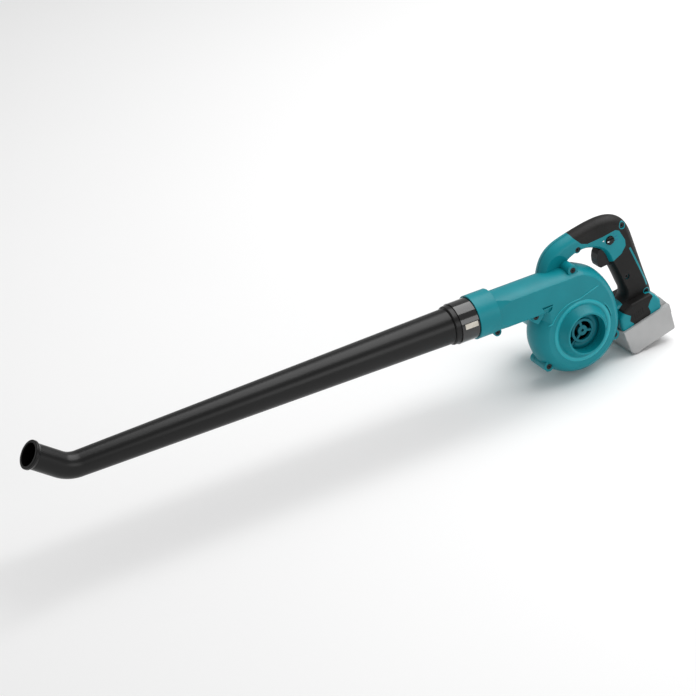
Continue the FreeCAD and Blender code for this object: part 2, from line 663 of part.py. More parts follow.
def fan_nut():
    """Flanged nut that holds the impeller on the shaft."""
    face = IMPELLER_FRONT_Y + 4
    corners = []
    for step in range(6):
        angle = math.radians(60 * step)
        corners.append((4.6 * math.cos(angle), 4.6 * math.sin(angle)))
    nut = prism(corners, face - 5, face - 1).fuse(cyl_y(7.0, face - 1, face)).removeSplitter()
    save(nut.cut(cyl_y(SHAFT_R, 0, 90)), "fan_nut")


def fan_back_plate():
    """Plate that closes the scroll behind the impeller and carries the motor's front."""
    plate = ring_y(MOTOR_R + 12, 6.0, FAR_Y - WALL - 2.5, FAR_Y - WALL)
    seat = ring_y(MOTOR_R + 1.0, MOTOR_R - 2.0, FAR_Y - WALL, MOTOR_FRONT_Y)
    save(join([plate, seat]), "fan_back_plate")


def motor_cover():
    """Vented cover on the far end of the motor barrel."""
    dome = cyl_y(BARREL_R, BARREL_END_Y, COVER_END_Y)
    rim_edges = [edge for edge in dome.Edges if edge.BoundBox.YMin > COVER_END_Y - 0.1]
    dome = dome.makeFillet(8.0, rim_edges)
    cover = dome.cut(cyl_y(BARREL_R - WALL, BARREL_END_Y - 1, COVER_END_Y - WALL))
    slots = []
    for step in range(-3, 4):
        half = math.sqrt((BARREL_R - 9) ** 2 - (7 * step) ** 2) - 1
        slots.append(box(-half, half, COVER_END_Y - 6, COVER_END_Y + 1, 7 * step - 1.5, 7 * step + 1.5))
    cover = cover.cut(slots[0].fuse(slots[1:]))
    save(cover, "motor_cover")


def outlet_seal():
    save(cyl_x(SPIGOT_R, SEAL_X, DUCT_X).cut(cyl_x(DUCT_R, SEAL_X - 1, DUCT_X + 1)), "outlet_seal")


# ---------------------------------------------------------------- motor
def motor():
    y0 = MOTOR_FRONT_Y
    y1 = y0 + MOTOR_LEN
    bearing_r = 8.0
    can = ring_y(MOTOR_R, MOTOR_R - 1.5, y0, y1)
    front = ring_y(MOTOR_R - 1, bearing_r, y0, y0 + 1.5)
    nose = ring_y(bearing_r + 2, bearing_r, y0, y0 + 6)
    save(join([can, front, nose]), "motor_can")
    save(ring_y(bearing_r, SHAFT_R + 0.03, y0, y0 + 5), "bearing_front")
    bell = ring_y(MOTOR_R, bearing_r, y1, y1 + 4)
    boss = ring_y(bearing_r + 2, bearing_r, y1, y1 + 7)
    save(join([bell, boss]), "motor_end_bell")
    save(ring_y(bearing_r, SHAFT_R + 0.03, y1 + 2, y1 + 7), "bearing_rear")
    shell = ring_y(MOTOR_R - 1.5, 16.0, y0 + 9, y1 - 11)
    for side, name in ((1, "upper"), (-1, "lower")):
        half = shell.common(box(-40, 40, y0, y1, 3 if side > 0 else -40, 40 if side > 0 else -3))
        save(half, "magnet_" + name)
    for side, name in ((1, "rear"), (-1, "front")):
        low = 8.6 if side > 0 else -16
        save(box(low, low + 7.4, y1 - 7, y1 - 1, -3, 3), "brush_" + name)
    save(ring_y(BARREL_R - WALL, MOTOR_R, y1 - 20, y1 - 12), "motor_mount")


def rotor():
    y0 = MOTOR_FRONT_Y
    y1 = y0 + MOTOR_LEN
    save(cyl_y(SHAFT_R, IMPELLER_FRONT_Y - 2, y1 + 8), "motor_shaft")
    core = ring_y(15.0, SHAFT_R, y0 + 10, y1 - 12)
    slots = []
    for step in range(8):
        slot = box(9.5, 16, y0 + 9, y1 - 11, -1.2, 1.2)
        slot.rotate(Vec(0, 0, 0), ALONG_Y, 45 * step)
        slots.append(slot)
    save(core.cut(slots[0].fuse(slots[1:])), "armature_core")
    save(ring_y(8.3, SHAFT_R, y1 - 9, y1 - 0.5), "commutator")


# ---------------------------------------------------------------- controls
def trigger():
    body = mid_prism(TRIGGER_SIDE, TRIGGER_HALF_W)
    bore = cyl_x(3.2, 70, 90, PARTING_Y, 78)
    save(on_handle(body.cut(bore)), "trigger")


def trigger_spring():
    """Return spring between the trigger's bore and the switch, as a tube of the coil's outer size."""
    coil = cyl_x(2.8, 70.2, 91, PARTING_Y, 78)
    save(on_handle(coil.cut(cyl_x(2.0, 70, 92, PARTING_Y, 78))), "trigger_spring")


def switch_body():
    save(on_handle(mid_box(91, 105.5, 9.6, 64, 100)), "switch_body")


def control_board():
    board = mid_box(99, 100.6, 8.6, 12, 58)
    parts = [board, mid_box(100.6, 106, 6.0, 40, 54), mid_box(100.6, 109, 4.0, 18, 30)]
    save(on_handle(join(parts)), "control_board")


def selector_dial():
    y0 = PARTING_Y - HANDLE_HALF_W - 3.0
    disc = cyl_y(DIAL_R, y0 + 1.6, PARTING_Y - 5.4, DIAL_X, DIAL_Z)
    grip = box(DIAL_X - DIAL_R + 0.6, DIAL_X + DIAL_R - 0.6, y0, y0 + 2, DIAL_Z - 1.9, DIAL_Z + 1.9)
    lobes = []
    for step in range(8):
        angle = math.radians(45 * step + 22.5)
        lobe_x, lobe_z = DIAL_X + 6.9 * math.cos(angle), DIAL_Z + 6.9 * math.sin(angle)
        lobes.append(cyl_y(1.2, y0 + 0.8, y0 + 20, lobe_x, lobe_z))
    knob = disc.cut(lobes[0].fuse(lobes[1:])).fuse(grip).removeSplitter()
    mark_space = box(DIAL_X - DIAL_R - 1, DIAL_X - 3.0, y0 - 1, y0 + 0.6, DIAL_Z - 0.8, DIAL_Z + 0.8)
    save(on_handle(knob.cut(mark_space)), "selector_dial")
    mark = box(DIAL_X - DIAL_R + 0.6, DIAL_X - 3.0, y0 - 0.3, y0 + 0.6, DIAL_Z - 0.8, DIAL_Z + 0.8)
    save(on_handle(mark), "dial_pointer")


# ---------------------------------------------------------------- nozzle
def nozzle_sleeve():
    main = cyl_x(SLEEVE_R, SLEEVE_X, STEP_X - MOVE_GAP)
    spigot = cyl_x(SPIGOT_R, STEP_X - 2, SPIGOT_END_X)
    pieces = [main, spigot]
    lug_x = STEP_X + 4
    for start in (90, 270):
        lug = sector(SPIGOT_R + LUG_H, start - LUG_HALF_DEG, start + LUG_HALF_DEG, lug_x, lug_x + LUG_W)
        pieces.append(lug)
    sleeve = join(pieces)
    sleeve = sleeve.cut(cyl_x(DUCT_R, SLEEVE_X - 1, SPIGOT_END_X + 1))
    tail_seat = cyl_x(pipe_radius(SLEEVE_X), SLEEVE_X - 1, SLEEVE_X + PIPE_TAIL)
    save(sleeve.cut([tail_seat, mark_plate()]), "nozzle_sleeve")
    save(mark_plate(), "mark_plate")


def mark_plate():
    """Pale alignment mark let into the near side of the sleeve, just in front of the collar."""
    window = box(MARK_X, MARK_X + MARK_LEN, 0, SCROLL_MID_Y, OUTLET_Z - MARK_W / 2, OUTLET_Z + MARK_W / 2)
    window.rotate(Vec(0, SCROLL_MID_Y, OUTLET_Z), ALONG_X, -MARK_DEG)
    shell = cyl_x(SLEEVE_R, SLEEVE_X, STEP_X).cut(cyl_x(SLEEVE_R - MARK_DEPTH, SLEEVE_X, STEP_X))
    return shell.common(window)


def pipe_radius(x):
    """Outside radius of the straight pipe, which tapers evenly from bead to bend."""
    share = (x - PIPE_BEND_X) / (BEAD_X - PIPE_BEND_X)
    return PIPE_TIP_R + (PIPE_ROOT_R - PIPE_TIP_R) * share


def bend_set_back():
    return BEND_R * math.tan(math.radians(BEND_DEG / 2))


def tube(outside, inside, node):
    save(biggest(outside.cut(inside)), node)


def long_pipe():
    """Straight tapered pipe with the bead at its machine end and a plain tail inside the sleeve."""
    start_x = PIPE_BEND_X + bend_set_back()
    root_r = pipe_radius(SLEEVE_X)
    tail_x = SLEEVE_X + PIPE_TAIL
    start = Vec(start_x, SCROLL_MID_Y, OUTLET_Z)
    bead = cyl_x(BEAD_R, BEAD_X, SLEEVE_X)
    bead = bead.makeFillet(2.0, [edge for edge in bead.Edges if abs(edge.BoundBox.Center.x - BEAD_X) < 0.1])
    outside = Part.makeCone(PIPE_TIP_R, root_r, SLEEVE_X - start_x, start, ALONG_X)
    outside = outside.fuse([bead, cyl_x(root_r, SLEEVE_X, tail_x)])
    tip_r = PIPE_TIP_R - PIPE_WALL
    inside = Part.makeCone(tip_r, root_r - PIPE_WALL, SLEEVE_X - start_x, start, ALONG_X)
    inside = inside.fuse(cyl_x(root_r - PIPE_WALL, SLEEVE_X, tail_x))
    tube(outside, inside, "long_pipe")


def pipe_bend():
    start = Vec(PIPE_BEND_X + bend_set_back(), SCROLL_MID_Y, OUTLET_Z)
    bends = []
    for radius in (PIPE_TIP_R, PIPE_TIP_R - PIPE_WALL):
        disc = Part.Face(Part.Wire(Part.makeCircle(radius, start, ALONG_X)))
        bends.append(disc.revolve(start + Vec(0, 0, BEND_R), ALONG_Y, BEND_DEG))
    tube(bends[0], bends[1], "pipe_bend")


def pipe_tip():
    """Straight end of the nozzle with the flared lip round its mouth."""
    turn = math.radians(BEND_DEG)
    out = Vec(-math.cos(turn), 0, math.sin(turn))
    corner = Vec(PIPE_BEND_X, SCROLL_MID_Y, OUTLET_Z)
    start = corner + out * bend_set_back()
    length = TIP_LEN - bend_set_back()
    outside = Part.makeCylinder(PIPE_TIP_R, length, start, out)
    flare = Part.makeCone(PIPE_TIP_R, LIP_R, LIP_LEN, start + out * (length - 2 * LIP_LEN), out)
    lip = Part.makeCylinder(LIP_R, LIP_LEN, start + out * (length - LIP_LEN), out)
    rims = [edge for edge in lip.Edges if edge.BoundBox.Center.sub(start).Length > length - 0.1]
    lip = lip.makeFillet(1.2, rims)
    inside = Part.makeCylinder(PIPE_TIP_R - PIPE_WALL, length, start, out)
    tube(outside.fuse([flare, lip]), inside, "pipe_tip")


# ---------------------------------------------------------------- battery, drawn in the rail frame
def latch_form(slack, travel):
    """Release button with its arm and hook; slack widens it all round and travel lets it move down."""
    low = -slack - travel
    side_button = [
        (40.5 - slack, -20 + low), (47 + slack, -20 + low), (47 + slack, -5 + slack), (41.6 + slack, 7 + slack),
        (40.5 - slack, 7 + slack),
    ]
    button = mid_prism(side_button, 12 + slack)
    arm = mid_box(26 - slack, 41.4, 8 + slack, 6.0 + low, 10 + slack)
    hook_side = [(26 - slack, 9), (33 + slack, 9), (33 + slack, 17.8), (30.5 - slack, 17.8)]
    return join([button, arm, mid_prism(hook_side, 8 + slack)])


def battery_upper():
    seam = BATTERY_SEAM
    plate_top = -RAIL_GAP - 0.1
    plate = mid_prism([(-35.5, seam), (44.4, seam), (45.1, plate_top), (-35.5, plate_top)], BATTERY_HALF_W)
    neck = mid_box(FOOT_FRONT + FOOT_WALL + RAIL_GAP, 40, SLOT_HALF_W - RAIL_GAP, -2, 9)
    rail_low = LIP_THICK + RAIL_GAP
    rail = mid_box(FOOT_FRONT + FOOT_WALL + RAIL_GAP, 35.4, FOOT_HALF_W - FOOT_WALL - RAIL_GAP, rail_low, 12.6)
    shoulder = mid_prism([(35.4, -2), (45.1, -2), (45.1, -0.4), (38.2, 13.8), (35.4, 13.8)], 25.5)
    body = join([plate, neck, rail, shoulder])
    cell_room = mid_box(ROOM_FRONT, ROOM_REAR, BATTERY_HALF_W - BATTERY_WALL, seam - 1, -2.8)
    for spot in battery_screw_spots():
        cell_room = cell_room.cut(screw_post(spot, seam, -2.0))
    board_room = mid_box(-26.0, 20.0, 18.0, -3.5, 1.2)
    block_room = mid_box(FOOT_FRONT, -19.2, 14.8, 3.6, 14)
    cuts = [cell_room, board_room, block_room]
    for place in (-10, 0, 10):
        y = PARTING_Y + place
        cuts.append(box(-19.4, -4, y - 1.2, y + 1.2, 4.6, 14))
    cuts.append(latch_form(MOVE_GAP, LATCH_TRAVEL))
    cuts.append(mid_box(25.5, 50, 8.4, 9, 14.5))
    cuts += [battery_screw_form(spot, 0.0) for spot in battery_screw_spots()]
    cuts.append(Part.makeCylinder(3.3, 8.0, Vec(34, PARTING_Y, -2.2)))
    body = body.cut(cuts)
    save(in_rail_frame(biggest(body)), "battery_upper")


def battery_lower():
    side = [
        (-35.5, BATTERY_SEAM), (-34.6, -34), (-32.4, -39.5), (-28, -43), (-23, -44), (-17, BATTERY_BASE),
        (40.6, BATTERY_BASE), (42.4, BATTERY_BASE + 2.5), (44.4, BATTERY_SEAM),
    ]
    body = mid_prism(side, BATTERY_HALF_W)
    rims = [edge for edge in body.Edges if abs(abs(edge.BoundBox.Center.y - PARTING_Y) - BATTERY_HALF_W) < 0.01]
    low_rims = [edge for edge in rims if edge.BoundBox.Center.z < BATTERY_SEAM - 1]
    body = body.makeFillet(2.0, low_rims)
    room = mid_box(ROOM_FRONT, ROOM_REAR, BATTERY_HALF_W - BATTERY_WALL, CELL_FLOOR, BATTERY_SEAM + 1)
    for spot in battery_screw_spots():
        room = room.cut(screw_post(spot, CELL_FLOOR - 1, BATTERY_SEAM))
    body = body.cut(room)
    holes = [battery_screw_form(spot, 0.1) for spot in battery_screw_spots()]
    body = body.cut(holes + [latch_form(MOVE_GAP, LATCH_TRAVEL)])
    save(in_rail_frame(biggest(body)), "battery_lower")


def battery_screw_spots():
    """Places of the four case screws, in the ends of the cell room."""
    spots = []
    for x in (ROOM_FRONT + 0.8, ROOM_REAR + 1.6):
        for side in TWO_SIDES:
            spots.append((x, PARTING_Y + side * (BATTERY_HALF_W - 4.2)))
    return spots


def screw_post(spot, z0, z1):
    return Part.makeCylinder(2.6, z1 - z0, Vec(spot[0], spot[1], z0))


def battery_screw_form(spot, slack):
    """Case screw; with slack it is the hole for it, open to below."""
    x, y = spot
    drop = 12.0 if slack > 0 else 0.0
    head = Part.makeCylinder(2.3 + slack, 2.4 + drop, Vec(x, y, BATTERY_SCREW_Z - drop))
    shank = Part.makeCylinder(1.3, BATTERY_SEAM + 6 - BATTERY_SCREW_Z, Vec(x, y, BATTERY_SCREW_Z))
    return head.fuse(shank)


def battery_screws():
    for number, spot in enumerate(battery_screw_spots()):
        save(in_rail_frame(battery_screw_form(spot, 0.0).removeSplitter()), "battery_screw_" + str(number + 1))


def battery_cells():
    count = 0
    for row in (0, 1):
        for column in (-1, 0, 1):
            count += 1
            y = PARTING_Y + column * CELL_PITCH
            z = CELL_FLOOR + 0.1 + CELL_R + row * CELL_PITCH
            cell = Part.makeCylinder(CELL_R, CELL_LEN, Vec(CELL_X, y, z), ALONG_X)
            cap = Part.makeCylinder(3.0, 1.2, Vec(CELL_X + CELL_LEN, y, z), ALONG_X)
            save(in_rail_frame(cell.fuse(cap).removeSplitter()), "battery_cell_" + str(count))


def battery_board():
    save(in_rail_frame(mid_box(-25.0, 19.5, 17.4, -1.4, 0.2)), "battery_board")


def battery_latch():
    save(in_rail_frame(latch_form(0.0, 0.0)), "release_button")
    spring = Part.makeCylinder(2.9, 8.0, Vec(34, PARTING_Y, -2.1))
    spring = spring.cut(Part.makeCylinder(2.1, 9.0, Vec(34, PARTING_Y, -2.6)))
    save(in_rail_frame(spring), "button_spring")


def terminal_block():
    """Block in the foot with three blades that reach into the battery."""
    block = mid_box(FOOT_FRONT + FOOT_WALL, -20.0, 14.2, 5.0, CHANNEL_TOP)
    save(in_rail_frame(block), "terminal_block")
    blades = [mid_box(-20.0, -19.5, 10.4, 8.0, 10.5)]
    for place in (-10, 0, 10):
        y = PARTING_Y + place
        blades.append(box(-20.0, -6.0, y - 0.4, y + 0.4, 6.5, 12.0))
    save(in_rail_frame(join(blades)), "terminal_blades")


def main():
    os.makedirs("parts", exist_ok=True)
    housing()
    housing_screws()
    inlet_guard()
    impeller()
    fan_nut()
    fan_back_plate()
    motor_cover()
    outlet_seal()
    motor()
    rotor()
    trigger()
    trigger_spring()
    switch_body()
    control_board()
    selector_dial()
    nozzle_sleeve()
    long_pipe()
    pipe_bend()
    pipe_tip()
    battery_upper()
    battery_lower()
    battery_cells()
    battery_screws()
    battery_board()
    battery_latch()
    terminal_block()


main()
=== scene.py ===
import json
import math

import bpy
import numpy as np
from mathutils import Matrix, Vector


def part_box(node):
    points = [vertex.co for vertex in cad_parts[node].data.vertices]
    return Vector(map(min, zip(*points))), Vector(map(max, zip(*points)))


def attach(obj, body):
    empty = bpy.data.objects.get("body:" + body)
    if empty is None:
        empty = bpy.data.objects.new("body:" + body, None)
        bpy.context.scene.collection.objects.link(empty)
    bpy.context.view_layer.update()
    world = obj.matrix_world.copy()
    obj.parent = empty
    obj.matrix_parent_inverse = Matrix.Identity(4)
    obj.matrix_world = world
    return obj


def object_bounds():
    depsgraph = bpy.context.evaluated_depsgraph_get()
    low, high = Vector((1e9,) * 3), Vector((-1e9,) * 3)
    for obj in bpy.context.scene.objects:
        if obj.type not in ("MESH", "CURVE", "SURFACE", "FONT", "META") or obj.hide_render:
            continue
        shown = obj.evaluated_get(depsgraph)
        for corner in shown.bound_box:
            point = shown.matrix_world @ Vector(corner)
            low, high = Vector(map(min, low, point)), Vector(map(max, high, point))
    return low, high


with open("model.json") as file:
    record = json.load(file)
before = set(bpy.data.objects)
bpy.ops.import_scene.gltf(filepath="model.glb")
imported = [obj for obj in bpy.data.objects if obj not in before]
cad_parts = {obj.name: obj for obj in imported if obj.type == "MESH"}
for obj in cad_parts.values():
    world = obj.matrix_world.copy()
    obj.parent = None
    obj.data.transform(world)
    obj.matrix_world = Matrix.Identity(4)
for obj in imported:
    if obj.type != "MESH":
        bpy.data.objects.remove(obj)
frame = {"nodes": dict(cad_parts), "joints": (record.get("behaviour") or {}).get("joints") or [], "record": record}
cad_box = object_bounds()

MM = 0.001
BEAD_SIDES = 12
BEAD_TIP = 0.02

# Places read from the frame, in millimetres
GUARD_LOW, GUARD_HIGH = (np.array(corner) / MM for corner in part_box("inlet_guard"))
PARTING_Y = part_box("housing_near")[1].y / MM
NEAR_FACE_Y = GUARD_LOW[1] + 0.6
THROAT_R = (GUARD_HIGH[0] - GUARD_LOW[0]) / 2
DIAL_LOW, DIAL_HIGH = (np.array(corner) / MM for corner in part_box("selector_dial"))
DIAL = (DIAL_LOW + DIAL_HIGH) / 2
JOINT = {joint["name"]: joint for joint in frame["joints"]}
RAIL = np.array(JOINT["battery_slide"]["axis"], dtype=float)
RAIL_UP = np.array([-RAIL[2], 0.0, RAIL[0]])
FOOT_NEAR_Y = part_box("grip_overmould_near")[0].y / MM
RAIL_START = np.array([105.0, 0.0, -25.0])
HANDLE_NEAR_Y = PARTING_Y - 15.0


# ---------------------------------------------------------------- surfaces
def mesh_piece(name, points, faces, material, body, smooth=True):
    """Piece at the origin from points in millimetres; faces with a negative signed volume are turned over."""
    points = np.asarray(points, dtype=float) * MM
    quads = np.array([face for face in faces if len(face) == 4])
    a, b, c, d = (points[quads[:, corner]] for corner in range(4))
    volume = (np.cross(a, b) * c).sum() + (np.cross(a, c) * d).sum()
    if volume < 0:
        faces = [face[::-1] for face in faces]
    mesh = bpy.data.meshes.new(name)
    mesh.from_pydata(points.tolist(), [], faces)
    mesh.polygons.foreach_set("use_smooth", np.full(len(mesh.polygons), smooth))
    mesh.materials.append(material)
    piece = bpy.data.objects.new(name, mesh)
    bpy.context.scene.collection.objects.link(piece)
    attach(piece, body)
    return piece


def grid_quads(rows, columns, close_rows):
    """Quads between the neighbours of a grid that closes on itself along its columns."""
    last_row = rows if close_rows else rows - 1
    row, column = np.meshgrid(np.arange(last_row), np.arange(columns), indexing="ij")
    next_row, next_column = (row + 1) % rows, (column + 1) % columns
    corners = (row * columns + column, row * columns + next_column,
               next_row * columns + next_column, next_row * columns + column)
    return np.stack(corners, axis=-1).reshape(-1, 4).tolist()


def skin(name, rings, material, body, closed=False, smooth=True):
    """Skin over a row of closed rings of points; open rows get a flat cap at each end, others join up."""
    rows, columns = rings.shape[:2]
    faces = grid_quads(rows, columns, closed)
    if not closed:
        faces.append(list(range(columns))[::-1])
        faces.append(list(range((rows - 1) * columns, rows * columns)))
    return mesh_piece(name, rings.reshape(-1, 3), faces, material, body, smooth)


def side_path(points):
    """Points (x, z) on a side face as x, y, z with y left at zero."""
    points = np.asarray(points, dtype=float)
    return np.stack([points[:, 0], np.zeros(len(points)), points[:, 1]], axis=1)


def bead(name, path, half_w, proud, face_y, material, body="machine"):
    """Moulded line on a near face: an ellipse, half_w across and proud deep, carried along a path (x, z).

    The ellipse shrinks by the square root of the distance to either end, so both ends are round."""
    path = side_path(path)
    run = np.gradient(path, axis=0)
    run /= np.linalg.norm(run, axis=1, keepdims=True)
    across = np.stack([-run[:, 2], run[:, 1], run[:, 0]], axis=1)
    place = np.linalg.norm(np.diff(path, axis=0, prepend=path[:1]), axis=1).cumsum()
    end_gap = np.minimum(place, place[-1] - place) / (2 * half_w)
    size = np.sqrt(np.clip(end_gap, BEAD_TIP, 1.0))[:, None, None]
    angle = np.linspace(0, 2 * np.pi, BEAD_SIDES, endpoint=False)[None, :, None]
    outwards = np.array([0.0, -1.0, 0.0])
    ellipse = half_w * np.cos(angle) * across[:, None] + proud * np.sin(angle) * outwards
    rings = path[:, None] + size * ellipse
    rings[:, :, 1] += face_y
    return skin(name, rings, material, body)


def round_bar(name, outline, low_y, high_y, material, body="machine", edge=0.3):
    """Flat piece with an outline (x, z), from low_y to high_y, whose near rim is drawn in by edge."""
    outline = side_path(outline)
    middle = outline.mean(axis=0)
    reach = np.linalg.norm(outline - middle, axis=1, keepdims=True)
    drawn = middle + (outline - middle) * (1 - edge / reach)
    rings = np.stack([outline, outline, drawn])
    rings[:, :, 1] = np.array([[high_y], [low_y + edge], [low_y]])
    return skin(name, rings, material, body, smooth=False)


def turned(name, profile, material, body="machine", start=0.0, stop=360.0, steps=128):
    """Closed profile (radius, y) turned about the fan axis from one angle to another, in degrees from +X."""
    profile = np.asarray(profile, dtype=float)
    whole = stop - start >= 360.0
    angle = np.radians(np.linspace(start, stop, steps, endpoint=not whole))
    rings = np.empty((steps, len(profile), 3))
    rings[:, :, 0] = profile[None, :, 0] * np.cos(angle)[:, None]
    rings[:, :, 1] = profile[None, :, 1]
    rings[:, :, 2] = profile[None, :, 0] * np.sin(angle)[:, None]
    return skin(name, rings, material, body, closed=whole)


def arc(centre, radius, start, stop, steps):
    """Points (x, z) on a circle, in degrees from +X."""
    angle = np.radians(np.linspace(start, stop, steps))
    return np.stack([centre[0] + radius * np.cos(angle), centre[1] + radius * np.sin(angle)], axis=1)


def line(start, stop, steps):
    """Evenly spaced points (x, z) on a straight line."""
    share = np.linspace(0, 1, steps)[:, None]
    return np.array(start) * (1 - share) + np.array(stop) * share


# ---------------------------------------------------------------- finishes
def shader(name):
    material = bpy.data.materials.new(name)
    material.use_nodes = True
    tree = material.node_tree
    return material, tree, tree.nodes["Principled BSDF"]


def noise(tree, coords, scale, detail=3.0, stretch=(1.0, 1.0, 1.0)):
    """Noise value on object coordinates, with the pattern stretched by the inverse of stretch."""
    mapping = tree.nodes.new("ShaderNodeMapping")
    mapping.inputs["Scale"].default_value = stretch
    tree.links.new(coords, mapping.inputs["Vector"])
    node = tree.nodes.new("ShaderNodeTexNoise")
    node.inputs["Scale"].default_value = scale
    node.inputs["Detail"].default_value = detail
    tree.links.new(mapping.outputs["Vector"], node.inputs["Vector"])
    return node.outputs["Fac"]


def blend_colours(tree, source, low, high, start=0.35, end=0.65):
    """Colour between low and high, driven by a 0 to 1 value."""
    node = tree.nodes.new("ShaderNodeValToRGB")
    node.color_ramp.elements[0].position = start
    node.color_ramp.elements[0].color = (*low, 1)
    node.color_ramp.elements[1].position = end
    node.color_ramp.elements[1].color = (*high, 1)
    tree.links.new(source, node.inputs["Fac"])
    return node.outputs["Color"]


def span(tree, source, low, high):
    """Maps a 0 to 1 value onto low to high."""
    node = tree.nodes.new("ShaderNodeMapRange")
    node.inputs["To Min"].default_value = low
    node.inputs["To Max"].default_value = high
    tree.links.new(source, node.inputs["Value"])
    return node.outputs["Result"]


def finish(name, low, high, rough, grain=2600.0, depth=0.02, cloud=25.0, specular=0.4, metallic=0.0, coat=0.0,
           stretch=(1.0, 1.0, 1.0)):
    """Moulded or machined surface: clouds of colour, patches of roughness and a fine grain in the bump.

    Sizes are in waves per metre, and depth is the grain's height in millimetres."""
    material, tree, bsdf = shader(name)
    coords = tree.nodes.new("ShaderNodeTexCoord").outputs["Object"]
    tree.links.new(blend_colours(tree, noise(tree, coords, cloud, 4.0), low, high), bsdf.inputs["Base Color"])
    tree.links.new(span(tree, noise(tree, coords, cloud * 7, 5.0, stretch), *rough), bsdf.inputs["Roughness"])
    bump = tree.nodes.new("ShaderNodeBump")
    bump.inputs["Strength"].default_value = 0.4
    bump.inputs["Distance"].default_value = depth * MM
    tree.links.new(noise(tree, coords, grain, 2.0, stretch), bump.inputs["Height"])
    tree.links.new(bump.outputs["Normal"], bsdf.inputs["Normal"])
    bsdf.inputs["Specular IOR Level"].default_value = specular
    bsdf.inputs["Metallic"].default_value = metallic
    bsdf.inputs["Coat Weight"].default_value = coat
    bsdf.inputs["Coat Roughness"].default_value = 0.08
    return material


TEAL = finish("teal_moulding", (0.0010, 0.212, 0.252), (0.0020, 0.240, 0.284), (0.34, 0.44), specular=0.26)
# Lighter copy of the housing teal: a painted highlight on the lit sides of the ridge, the foot ring and the raised
# mark.
TEAL_PAINTED_HIGHLIGHT = finish("teal_painted_highlight", (0.006, 0.33, 0.385), (0.010, 0.37, 0.425), (0.26, 0.36))
# Darker copy of the housing teal: painted shade on the guard and its floor, deep in the inlet well.
TEAL_PAINTED_SHADE = finish("teal_guard_painted_shade", (0.001, 0.150, 0.190), (0.002, 0.175, 0.215), (0.42, 0.5), specular=0.25)
TEAL_LINE = finish("teal_shadow_line", (0.0005, 0.035, 0.045), (0.0008, 0.045, 0.055), (0.6, 0.7),
                   specular=0.1)
GRIP = finish("grip_skin", (0.0075, 0.0070, 0.0068), (0.0125, 0.0115, 0.0110), (0.42, 0.56), grain=1900.0,
              depth=0.09, specular=0.20)
PIPE_BLACK = finish("pipe_black", (0.0018, 0.0018, 0.0019), (0.0034, 0.0034, 0.0035), (0.28, 0.36), cloud=8.0,
                    specular=0.30, stretch=(0.15, 1.0, 1.0))
SLEEVE_BLACK = finish("sleeve_black", (0.0015, 0.0015, 0.0015), (0.003, 0.003, 0.003), (0.10, 0.16),
                      depth=0.004, specular=0.45, coat=0.5)
BLACK = finish("black_moulding", (0.006, 0.006, 0.0065), (0.011, 0.011, 0.0115), (0.34, 0.48), specular=0.25)
SCREW_BLACK = finish("blackened_screw", (0.006, 0.006, 0.007), (0.014, 0.014, 0.016), (0.28, 0.42),
                     cloud=220.0, metallic=0.3)
MARK = finish("pale_label", (0.60, 0.56, 0.48), (0.80, 0.77, 0.70), (0.22, 0.34), cloud=90.0)
WHITE = finish("white_mark", (0.78, 0.80, 0.80), (0.86, 0.87, 0.87), (0.4, 0.5), cloud=90.0)
BLUE = finish("blue_mark", (0.001, 0.11, 0.27), (0.002, 0.14, 0.31), (0.4, 0.5), cloud=90.0)
SEAL = finish("seal_ring", (0.015, 0.015, 0.015), (0.022, 0.022, 0.022), (0.6, 0.75), depth=0.08)
BATTERY = finish("battery_case", (0.37, 0.37, 0.37), (0.43, 0.43, 0.43), (0.42, 0.55), depth=0.05,
                 specular=0.3)
BUTTON = finish("button_moulding", (0.27, 0.27, 0.27), (0.33, 0.33, 0.33), (0.4, 0.5), depth=0.03)
CELL = finish("cell_sleeve", (0.04, 0.16, 0.22), (0.06, 0.20, 0.27), (0.2, 0.3))
STEEL = finish("bright_steel", (0.40, 0.40, 0.41), (0.54, 0.54, 0.55), (0.24, 0.38), cloud=60.0, metallic=1.0)
MAGNET = finish("field_magnet", (0.05, 0.05, 0.055), (0.08, 0.08, 0.085), (0.5, 0.65), cloud=60.0,
                metallic=0.5)
COPPER = finish("copper_alloy", (0.55, 0.24, 0.12), (0.68, 0.32, 0.18), (0.25, 0.4), cloud=60.0, metallic=1.0)
BOARD = finish("circuit_board", (0.01, 0.09, 0.04), (0.02, 0.12, 0.05), (0.2, 0.35))

SLOT_FINISH = {
    "teal_shell": TEAL,
    "soft_grip": GRIP,
    "black_screw": SCREW_BLACK,
    "black_plastic": BLACK,
    "gloss_black": SLEEVE_BLACK,
    "pale_mark": MARK,
    "seal_rubber": SEAL,
    "battery_shell": BATTERY,
    "button_plastic": BUTTON,
    "cell_wrap": CELL,
    "steel": STEEL,
    "magnet": MAGNET,
    "copper": COPPER,
    "board": BOARD,
}
NODE_FINISH = {
    # The guard takes the darker teal, painted shade deep in the inlet.
    "inlet_guard": TEAL_PAINTED_SHADE,
    "long_pipe": PIPE_BLACK,
    "pipe_bend": PIPE_BLACK,
    "pipe_tip": PIPE_BLACK,
    "impeller": BLACK,
    "fan_nut": BLACK,
    "motor_shaft": BLACK,
    "dial_pointer": WHITE,
}


def dress_cad_nodes():
    """Every CAD node takes its own finish, or else the one of its material slot."""
    for entry in frame["record"]["subparts"]:
        name = entry["node"]
        node = frame["nodes"][name]
        node.data.materials.clear()
        node.data.materials.append(NODE_FINISH.get(name, SLOT_FINISH[entry["material_slot"]]))


# ---------------------------------------------------------------- inlet side of the housing
def inlet_foot_ring():
    """Low rounded ledge round the foot of the inlet cone: an ellipse turned about the fan axis, coloured a lighter
    teal as a painted highlight.
    """
    angle = np.linspace(0, 2 * np.pi, 24, endpoint=False)
    profile = np.stack([43.0 + 3.4 * np.cos(angle), NEAR_FACE_Y + 0.3 + 2.0 * np.sin(angle)], axis=1)
    turned("inlet_foot_ring", profile, TEAL_PAINTED_HIGHLIGHT)


